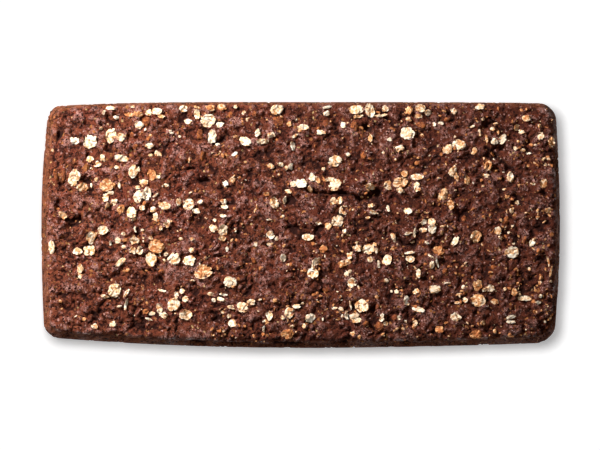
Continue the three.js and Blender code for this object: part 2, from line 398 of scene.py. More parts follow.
wander = np.array([noise.noise_vector(Vector(place) / 12) for place in places_mm])
tear_level = crust_points[:, 2] + (0.8 * jitter[:, 2] + 2.2 * wander[:, 2]) * MM - TEAR_HEIGHT
tear_level /= TEAR_HALF_HEIGHT * (1 + 0.9 * wander[:, 0])
tear_relief = np.zeros(len(crust_points))
for side, middle, reach, depth in TEARS:
    facing = {
        "right": crust_normals[:, 0] > 0.6,
        "left": crust_normals[:, 0] < -0.6,
        "front": crust_normals[:, 1] < -0.6,
        "back": crust_normals[:, 1] > 0.6,
    }[side]
    along = (crack_y if side in ("right", "left") else crack_x) + 5 * wander[:, 1]
    share = np.clip(1 - ((along - middle) / reach) ** 2, 0, 1)
    cut = depth * share * np.exp(-(tear_level**2)) * np.clip(0.8 + 1.2 * jitter[:, 0], 0, 1)
    tear_relief = np.maximum(tear_relief, np.where(facing, cut, 0))
relief -= tear_relief

moved = crust_points + crust_normals * relief[:, None] * MM
moved[:, 2] = np.maximum(moved[:, 2], 0)
resting = (crust_normals[:, 2] < -0.9) & (relief > -0.12)
moved[resting, 2] = 0
crust_mesh.vertices.foreach_set("co", moved.ravel())
crust_mesh.shade_smooth()
crust_mesh.update()

# The raised share is low in the creases, cracks and tears, where the crust material paints shade, and high
# on the small knobs, where it paints a sheen.
raised = crust_mesh.attributes.new("raised", "FLOAT", "POINT")
hollow += 0.6 * tear_relief
small_relief = upward * small_relief + wall_share * pressed
raised.data.foreach_set("value", np.clip(0.5 + (small_relief - hollow) / 2.4, 0, 1))
from_tin = crust_mesh.attributes.new("from_tin", "FLOAT", "POINT")
from_tin.data.foreach_set("value", wall_share)

loaf_crust = bpy.data.objects.new("loaf_crust", crust_mesh)
bpy.context.scene.collection.objects.link(loaf_crust)


def put(tree, kind, settings=None, **inputs):
    """Adds a shader node. An input is a value to set or a socket to link, named with _ for each space."""
    node = tree.nodes.new("ShaderNode" + kind)
    for name, value in (settings or {}).items():
        setattr(node, name, value)
    for name, value in inputs.items():
        socket = node.inputs[name.replace("_", " ")]
        if isinstance(value, bpy.types.NodeSocket):
            tree.links.new(value, socket)
        else:
            socket.default_value = value
    return node


def sums(tree, operation, first, second=0.0, clamp=False):
    """A sum on one or two values."""
    node = put(tree, "Math", {"operation": operation, "use_clamp": clamp})
    for socket, value in zip(node.inputs, (first, second)):
        if isinstance(value, bpy.types.NodeSocket):
            tree.links.new(value, socket)
        else:
            socket.default_value = value
    return node.outputs[0]


def between(tree, value, low, high):
    """0 where a value is at low or under, 1 at high or over, and smooth between."""
    node = put(tree, "MapRange", {"interpolation_type": "SMOOTHSTEP"}, Value=value)
    node.inputs["From Min"].default_value = low
    node.inputs["From Max"].default_value = high
    return node.outputs["Result"]


def mixed(tree, share, under, over):
    """Two colours mixed: under where the share is 0, over where it is 1."""
    node = put(tree, "Mix", {"data_type": "RGBA"})
    for socket, value in zip((node.inputs[0], node.inputs[6], node.inputs[7]), (share, under, over)):
        if isinstance(value, bpy.types.NodeSocket):
            tree.links.new(value, socket)
        elif isinstance(value, tuple):
            socket.default_value = (*value, 1)
        else:
            socket.default_value = value
    return node.outputs[2]


def clouds(tree, place, size, detail=3.0, roughness=0.6, distortion=0.0):
    """Cloudy noise from 0 to 1, with blotches of a size in millimetres, drawn into streaks if distorted."""
    node = put(tree, "TexNoise", None, Vector=place, Scale=1 / (size * MM), Detail=detail)
    node.inputs["Roughness"].default_value = roughness
    node.inputs["Distortion"].default_value = distortion
    return node.outputs["Fac"]


# Flecks: the group gives a mask of small flecks at a place. It scatters the husk of bran and coarse meal
# through the dough, and also the painted glints and the painted shade of small pits.
bran_and_painted_flecks = bpy.data.node_groups.new("bran_and_painted_flecks", "ShaderNodeTree")
bran_and_painted_flecks.interface.new_socket("Place", in_out="INPUT", socket_type="NodeSocketVector")
bran_and_painted_flecks.interface.new_socket("Per metre", in_out="INPUT", socket_type="NodeSocketFloat")
bran_and_painted_flecks.interface.new_socket("Plenty", in_out="INPUT", socket_type="NodeSocketFloat")
bran_and_painted_flecks.interface.new_socket("Flecks", in_out="OUTPUT", socket_type="NodeSocketFloat")
fleck_group_in = bran_and_painted_flecks.nodes.new("NodeGroupInput")
fleck_group_out = bran_and_painted_flecks.nodes.new("NodeGroupOutput")
fleck_cells = put(bran_and_painted_flecks, "TexVoronoi", None, Vector=fleck_group_in.outputs[0], Scale=fleck_group_in.outputs[1])
fleck_luck = put(bran_and_painted_flecks, "SeparateColor", None, Color=fleck_cells.outputs["Color"])
fleck_size = sums(bran_and_painted_flecks, "MULTIPLY", fleck_luck.outputs[1], 0.3)
fleck_size = sums(bran_and_painted_flecks, "ADD", fleck_size, 0.14)
fleck_shape = sums(bran_and_painted_flecks, "LESS_THAN", fleck_cells.outputs["Distance"], fleck_size)
fleck_there = sums(bran_and_painted_flecks, "LESS_THAN", fleck_luck.outputs[0], fleck_group_in.outputs[2])
bran_and_painted_flecks.links.new(sums(bran_and_painted_flecks, "MULTIPLY", fleck_shape, fleck_there), fleck_group_out.inputs[0])


def flecks(tree, place, size, plenty):
    """The fleck group, for bran, meal, painted glints or painted pit shade, with cells of a size in
    millimetres of which a share hold a fleck.
    """
    node = tree.nodes.new("ShaderNodeGroup")
    node.node_tree = bran_and_painted_flecks
    tree.links.new(place, node.inputs["Place"])
    node.inputs["Per metre"].default_value = 1 / (size * MM)
    node.inputs["Plenty"].default_value = plenty
    return node.outputs["Flecks"]


# The first colour is painted shade: near-black, put where shade falls in creases, cracks, tears and small
# pits.
PAINTED_SHADE = (0.030, 0.005, 0.002)
DARK_CRUST = (0.070, 0.012, 0.0045)
CRUST = (0.32, 0.069, 0.033)
WARM_CRUST = (0.42, 0.125, 0.048)
# A painted sheen: the pale mauve of light gleaming off the knobs.
PAINTED_SHEEN = (0.72, 0.36, 0.30)
# A painted glint: bright specks of light gleaming off the crust.
PAINTED_GLINT = (0.80, 0.43, 0.36)
TIN_CRUST = (0.36, 0.105, 0.045)
TIN_DARK = (0.12, 0.032, 0.015)
HUSK = (0.50, 0.185, 0.055)
MEAL = (0.80, 0.52, 0.22)


def crust_look(name, specular, dull, shiny):
    """The crust's material, with a specular level and its roughest and smoothest roughness."""
    material = bpy.data.materials.new(name)
    material.use_nodes = True
    tree = material.node_tree
    shader = tree.nodes["Principled BSDF"]
    place = put(tree, "TexCoord").outputs["Object"]
    sway = put(tree, "TexNoise", None, Vector=place, Scale=1 / (1.3 * MM), Detail=2.0)
    swayed = put(tree, "VectorMath", {"operation": "SCALE"}, Scale=1.5 * MM)
    tree.links.new(sway.outputs["Color"], swayed.inputs[0])
    swayed_place = put(tree, "VectorMath", {"operation": "ADD"})
    tree.links.new(place, swayed_place.inputs[0])
    tree.links.new(swayed.outputs[0], swayed_place.inputs[1])
    swayed_place = swayed_place.outputs[0]
    raised_share = put(tree, "Attribute", {"attribute_name": "raised"}).outputs["Fac"]
    tin_share = put(tree, "Attribute", {"attribute_name": "from_tin"}).outputs["Fac"]
    where = put(tree, "SeparateXYZ", None, Vector=place)
    along = where.outputs["X"]
    # Painted shade: the crust is darker towards the right-hand end and the front edge, away from the key
    # light, with a broad waver.
    front = between(tree, sums(tree, "MULTIPLY", where.outputs["Y"], -1), 0.015, 0.060)

    broad = clouds(tree, place, 16, detail=2.0)
    patchy = clouds(tree, place, 3.4, detail=4.0)
    grainy = clouds(tree, place, 2.2, detail=4.0, roughness=0.72, distortion=1.6)
    fine = clouds(tree, place, 0.8, detail=3.0, roughness=0.7, distortion=1.4)
    streaks = clouds(tree, place, 1.4, detail=3.0, roughness=0.7, distortion=2.0)
    gaps = clouds(tree, place, 2.8, detail=4.0, roughness=0.75, distortion=1.4)
    creases = between(tree, gaps, 0.40, 0.46)

    top_colour = mixed(tree, between(tree, grainy, 0.42, 0.52), DARK_CRUST, CRUST)
    warmth = sums(tree, "MULTIPLY", between(tree, broad, 0.32, 0.60), between(tree, fine, 0.48, 0.58))
    top_colour = mixed(tree, warmth, top_colour, WARM_CRUST)
    falloff_shade = between(tree, sums(tree, "ADD", along, sums(tree, "MULTIPLY", broad, 0.08)), -0.10, 0.13)
    falloff_shade = sums(tree, "ADD", falloff_shade, sums(tree, "MULTIPLY", front, 0.3), clamp=True)
    top_colour = mixed(tree, sums(tree, "MULTIPLY", falloff_shade, 0.62), top_colour, DARK_CRUST)
    # Painted sheen: pale mauve streaks on the small raised knobs, where light would gleam off the crust,
    # fading with the painted shade towards the right-hand end.
    sheen_share = between(tree, streaks, 0.47, 0.515)
    sheen_share = sums(tree, "MULTIPLY", sheen_share, between(tree, raised_share, 0.34, 0.58))
    sheen_share = sums(tree, "MULTIPLY", sheen_share, between(tree, patchy, 0.34, 0.54))
    sheen_share = sums(tree, "MULTIPLY", sheen_share, sums(tree, "SUBTRACT", 1.0, sums(tree, "MULTIPLY", falloff_shade, 0.45)))
    top_colour = mixed(tree, sheen_share, top_colour, PAINTED_SHEEN)

    tin_colour = mixed(tree, between(tree, patchy, 0.34, 0.60), TIN_DARK, TIN_CRUST)
    darker = sums(tree, "MULTIPLY", between(tree, broad, 0.46, 0.62), 0.5)
    tin_colour = mixed(tree, darker, tin_colour, TIN_DARK)
    tin_colour = mixed(tree, sums(tree, "MULTIPLY", between(tree, grainy, 0.5, 0.6), 0.4), tin_colour, HUSK)
    # Painted shade: the walls too darken towards the right-hand end and the front edge.
    tin_colour = mixed(tree, sums(tree, "MULTIPLY", falloff_shade, 0.4), tin_colour, TIN_DARK)
    colour = mixed(tree, tin_share, top_colour, tin_colour)

    # Painted glints: bright mauve specks standing in for light gleaming off the crust, fewer on the tin's
    # walls.
    glint_share = sums(tree, "SUBTRACT", 0.7, sums(tree, "MULTIPLY", tin_share, 0.45))
    glint_share = sums(tree, "MULTIPLY", flecks(tree, swayed_place, 1.3, 0.30), glint_share)
    colour = mixed(tree, glint_share, colour, PAINTED_GLINT)
    # Painted shade: dark specks standing in for the shade inside small pits.
    colour = mixed(tree, flecks(tree, swayed_place, 1.4, 0.55), colour, PAINTED_SHADE)
    colour = mixed(tree, flecks(tree, swayed_place, 1.9, 0.13), colour, HUSK)
    colour = mixed(tree, flecks(tree, swayed_place, 1.4, 0.03), colour, MEAL)
    # Painted shade: the creases and the low hollows, cracks and tears take the near-black shade colour,
    # where shade falls between the knobs.
    shade = sums(tree, "MULTIPLY", creases, 0.85)
    shade = sums(tree, "ADD", shade, 0.15)
    shade = sums(tree, "MULTIPLY", shade, between(tree, raised_share, 0.0, 0.22), clamp=True)
    colour = mixed(tree, shade, PAINTED_SHADE, colour)
    tree.links.new(colour, shader.inputs["Base Color"])

    glazed = between(tree, patchy, 0.42, 0.52)
    glazed = sums(tree, "MULTIPLY", glazed, between(tree, raised_share, 0.34, 0.50))
    gloss = put(tree, "MapRange", None, Value=glazed)
    gloss.inputs["To Min"].default_value = dull
    gloss.inputs["To Max"].default_value = shiny
    tree.links.new(gloss.outputs["Result"], shader.inputs["Roughness"])

    height = sums(tree, "MULTIPLY", creases, 0.5)
    height = sums(tree, "ADD", height, sums(tree, "MULTIPLY", grainy, 1.7))
    height = sums(tree, "ADD", height, sums(tree, "MULTIPLY", fine, 2.2))
    bump = put(tree, "Bump", None, Strength=1.0, Distance=1.3 * MM, Height=height)
    tree.links.new(bump.outputs["Normal"], shader.inputs["Normal"])
    shader.inputs["Specular IOR Level"].default_value = specular
    shader.inputs["Specular Tint"].default_value = (1.0, 0.66, 0.62, 1)
    return material


crust_mesh.materials.append(crust_look("dark_crust", 0.42, 1.0, 0.2))
crust_mesh.materials.append(crust_look("tin_crust", 0.08, 0.85, 0.6))
on_wall = [int(np.mean(wall_share[list(face)]) > 0.5) for face in faces]
crust_mesh.polygons.foreach_set("material_index", on_wall)
loaf_lit.objects.link(loaf_crust)
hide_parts("loaf")
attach(loaf_crust, "root")


# The biggest rolled oat flakes, strewn on the wet dough and stuck there by baking. Each was a whole grain,
# steamed and rolled flat: cupped, split at the rim, cream-white, and toasted where the oven caught it.
FLAKE_THICKNESS = 0.55 * MM
FLAKE_SPOKES = 44
FLAKE_RINGS = 8
PLATE_SIZE = 2.3 * MM
PLATE_STEP = 0.42 * MM
WRINKLE = 0.3 * MM
FLAKE_LIFT = 0.4 * MM
FLAKE_SPREAD = 1.06  # the ragged rim reaches a little beyond the design's plain oval in places
CREAM = (0.83, 0.60, 0.39)
PALE = (0.88, 0.77, 0.62)
TAN = (0.64, 0.30, 0.11)
TOASTED = (0.42, 0.13, 0.034)
# How toasted each flake is, from 0 to 1, where it isn't as toasted as usual.
USUAL_TOAST = 0.3
FLAKE_TOAST = {
    "oat_flake_01": 0.15,
    "oat_flake_05": 0.55,
    "oat_flake_07": 0.7,
    "oat_flake_08": 0.1,
    "oat_flake_14": 0.6,
    "oat_flake_19": 0.55,
    "oat_flake_20": 0.15,
    "oat_flake_23": 0.75,
    "oat_flake_24": 0.1,
    "oat_flake_25": 0.25,
    "oat_flake_26": 0.15,
    "oat_flake_31": 0.05,
    "oat_flake_34": 0.2,
    "oat_flake_39": 0.5,
    "oat_flake_43": 0.65,
    "oat_flake_44": 0.5,
    "oat_flake_53": 0.55,
    "oat_flake_54": 0.7,
    "oat_flake_55": 0.2,
    "oat_flake_56": 0.5,
    "oat_flake_59": 0.8,
}

crust_tree = BVHTree.FromPolygons(moved.tolist(), faces[: COLUMNS * ROWS])
dice = random.Random(7)


def crust_under(x, y):
    """The height of the baked crust at a place."""
    hit = crust_tree.ray_cast(Vector((x, y, loaf_high[2] + 20 * MM)), Vector((0, 0, -1)))
    return hit[0].z if hit[0] else None


def seat(x, y, half_long, half_wide, turn):
    """Where a flake of this size comes to rest on the knobs: a frame with its Z away from the crust."""
    heights = []
    for step in range(12):
        angle = math.tau * step / 12
        for share in (0.35, 0.85):
            along = half_long * share * math.cos(angle)
            across = half_wide * share * math.sin(angle)
            probe_x = x + along * math.cos(turn) - across * math.sin(turn)
            probe_y = y + along * math.sin(turn) + across * math.cos(turn)
            z = crust_under(probe_x, probe_y)
            if z is not None:
                heights.append((probe_x, probe_y, z))
    points = np.array(heights)
    slopes = np.linalg.lstsq(np.c_[points[:, :2], np.ones(len(points))], points[:, 2], rcond=None)[0]
    up = Vector((-slopes[0], -slopes[1], 1)).normalized()
    level = points[:, 2] - points[:, :2] @ slopes[:2]
    z = np.percentile(level, 82) + slopes[0] * x + slopes[1] * y
    forward = Vector((math.cos(turn), math.sin(turn), 0))
    forward = (forward - up * forward.dot(up)).normalized()
    across = up.cross(forward)
    turned = Matrix((forward, across, up)).transposed().to_4x4()
    return Matrix.Translation((x, y, z)) @ turned


def flake_shape(half_long, half_wide, spokes, rings, thick, raggedness=0.8):
    """A rolled flake's points and faces about its middle: crumpled plates, with a ragged and split rim."""
    bend = dice.uniform(-0.05, 0.14)
    twist = dice.uniform(-0.14, 0.14)
    ragged = raggedness * dice.uniform(0.6, 1.4)
    seed = Vector((dice.uniform(0, 99), dice.uniform(0, 99), dice.uniform(0, 99)))
    splits = [(dice.uniform(0, math.tau), dice.uniform(0, 0.34), dice.uniform(0.1, 0.2)) for _ in range(3)]
    points = []
    for side in (1, -1):
        for ring in range(1, rings + 1):
            share = (ring / rings) ** 0.8
            for spoke in range(spokes):
                angle = math.tau * spoke / spokes
                around = Vector((math.cos(angle), math.sin(angle), 0))
                reach = 1 + ragged * 0.24 * noise.noise(around * 1.1 + seed)
                reach += ragged * 0.15 * noise.noise(around * 2.6 + seed)
                reach += ragged * 0.08 * noise.noise(around * 7 + seed)
                for where, depth, breadth in splits:
                    apart = math.remainder(angle - where, math.tau)
                    reach -= depth * math.exp(-((apart / breadth) ** 2) * 2) * share**2
                x = half_long * share * reach * around.x
                y = half_wide * share * reach * around.y
                curl = bend * (x * x + y * y) / half_long + twist * x * y / half_long
                spot = Vector((x, y, 0)) + seed
                plates = noise.voronoi(spot / PLATE_SIZE)[1][0]
                step = PLATE_STEP * (noise.cell(plates * 5.1) - 0.5)
                wrinkle = WRINKLE * noise.noise(spot / (0.9 * MM))
                thickness = thick * (1 - 0.5 * share**4)
                points.append(Vector((x, y, curl + step + wrinkle + side * thickness / 2)))
    shape_faces = []
    for side in range(2):
        start = side * rings * spokes
        for ring in range(rings - 1):
            for spoke in range(spokes):
                after = (spoke + 1) % spokes
                inner = start + ring * spokes
                outer = inner + spokes
                loop = [inner + spoke, outer + spoke, outer + after, inner + after]
                shape_faces.append(loop if side == 0 else loop[::-1])
        middle = [start + spoke for spoke in range(spokes)]
        shape_faces.append(middle if side == 0 else middle[::-1])
    rim_top = (rings - 1) * spokes
    rim_under = (2 * rings - 1) * spokes
    for spoke in range(spokes):
        after = (spoke + 1) % spokes
        shape_faces.append([rim_top + spoke, rim_under + spoke, rim_under + after, rim_top + after])
    return points, shape_faces


def oat_piece(name, parts):
    """One mesh piece from flakes that are already in place: (points, faces, how toasted) for each."""
    points, piece_faces, toasts = [], [], []
    for part_points, part_faces, toast in parts:
        start = len(points)
        points += part_points
        piece_faces += [[start + index for index in face] for face in part_faces]
        toasts += [toast] * len(part_points)
    mesh = bpy.data.meshes.new(name)
    mesh.from_pydata(points, [], piece_faces)
    mesh.attributes.new("toast", "FLOAT", "POINT").data.foreach_set("value", toasts)
    mesh.shade_smooth()
    mesh.set_sharp_from_angle(angle=math.radians(38))
    mesh.materials.append(oat_material)
    piece = bpy.data.objects.new(name, mesh)
    bpy.context.scene.collection.objects.link(piece)
    loaf_lit.objects.link(piece)
    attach(piece, "root")
    return piece


oat_material = bpy.data.materials.new("toasted_oat")
oat_material.use_nodes = True
tree = oat_material.node_tree
oat_shader = tree.nodes["Principled BSDF"]
place = put(tree, "TexCoord").outputs["Object"]
toast_share = put(tree, "Attribute", {"attribute_name": "toast"}).outputs["Fac"]
blotches = clouds(tree, place, 2.0, detail=3.0, distortion=0.8)
specks = clouds(tree, place, 0.7, detail=3.0, roughness=0.7, distortion=0.8)
toasting = sums(tree, "ADD", blotches, sums(tree, "MULTIPLY", toast_share, 0.42))
toasting = sums(tree, "ADD", toasting, sums(tree, "MULTIPLY", specks, 0.5))
colour = mixed(tree, between(tree, toasting, 0.70, 0.86), PALE, CREAM)
colour = mixed(tree, between(tree, toasting, 0.84, 0.98), colour, TAN)
colour = mixed(tree, between(tree, toasting, 0.96, 1.10), colour, TOASTED)
tree.links.new(colour, oat_shader.inputs["Base Color"])
oat_shader.inputs["Roughness"].default_value = 0.62
oat_shader.inputs["Specular IOR Level"].default_value = 0.35
oat_height = sums(tree, "ADD", specks, sums(tree, "MULTIPLY", clouds(tree, place, 1.2), 0.8))
oat_bump = put(tree, "Bump", None, Strength=1.0, Distance=0.5 * MM, Height=oat_height)
tree.links.new(oat_bump.outputs["Normal"], oat_shader.inputs["Normal"])

for number in range(1, len(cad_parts)):
    node_name = f"oat_flake_{number:02d}"
    corners = np.array([corner.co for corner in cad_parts[node_name].data.vertices])
    middle = (corners.max(axis=0) + corners.min(axis=0)) / 2
    directions = np.linalg.eigh(np.cov((corners - middle)[:, :2].T))[1]
    long_way = directions[:, 1]
    reaches = (corners - middle)[:, :2] @ directions
    half_wide, half_long = (reaches.max(axis=0) - reaches.min(axis=0)) / 2
    turn = math.atan2(long_way[1], long_way[0])
    place_on_crust = seat(middle[0], middle[1], half_long, half_wide, turn)
    place_on_crust = place_on_crust @ Matrix.Translation((0, 0, FLAKE_LIFT))
    points, shape_faces = flake_shape(
        half_long * FLAKE_SPREAD, half_wide * FLAKE_SPREAD, FLAKE_SPOKES, FLAKE_RINGS, FLAKE_THICKNESS
    )
    points = [place_on_crust @ point for point in points]
    toast = FLAKE_TOAST.get(node_name, USUAL_TOAST)
    piece = oat_piece(f"rolled_oat_{number:02d}", [(points, shape_faces, toast)])
    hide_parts(node_name)


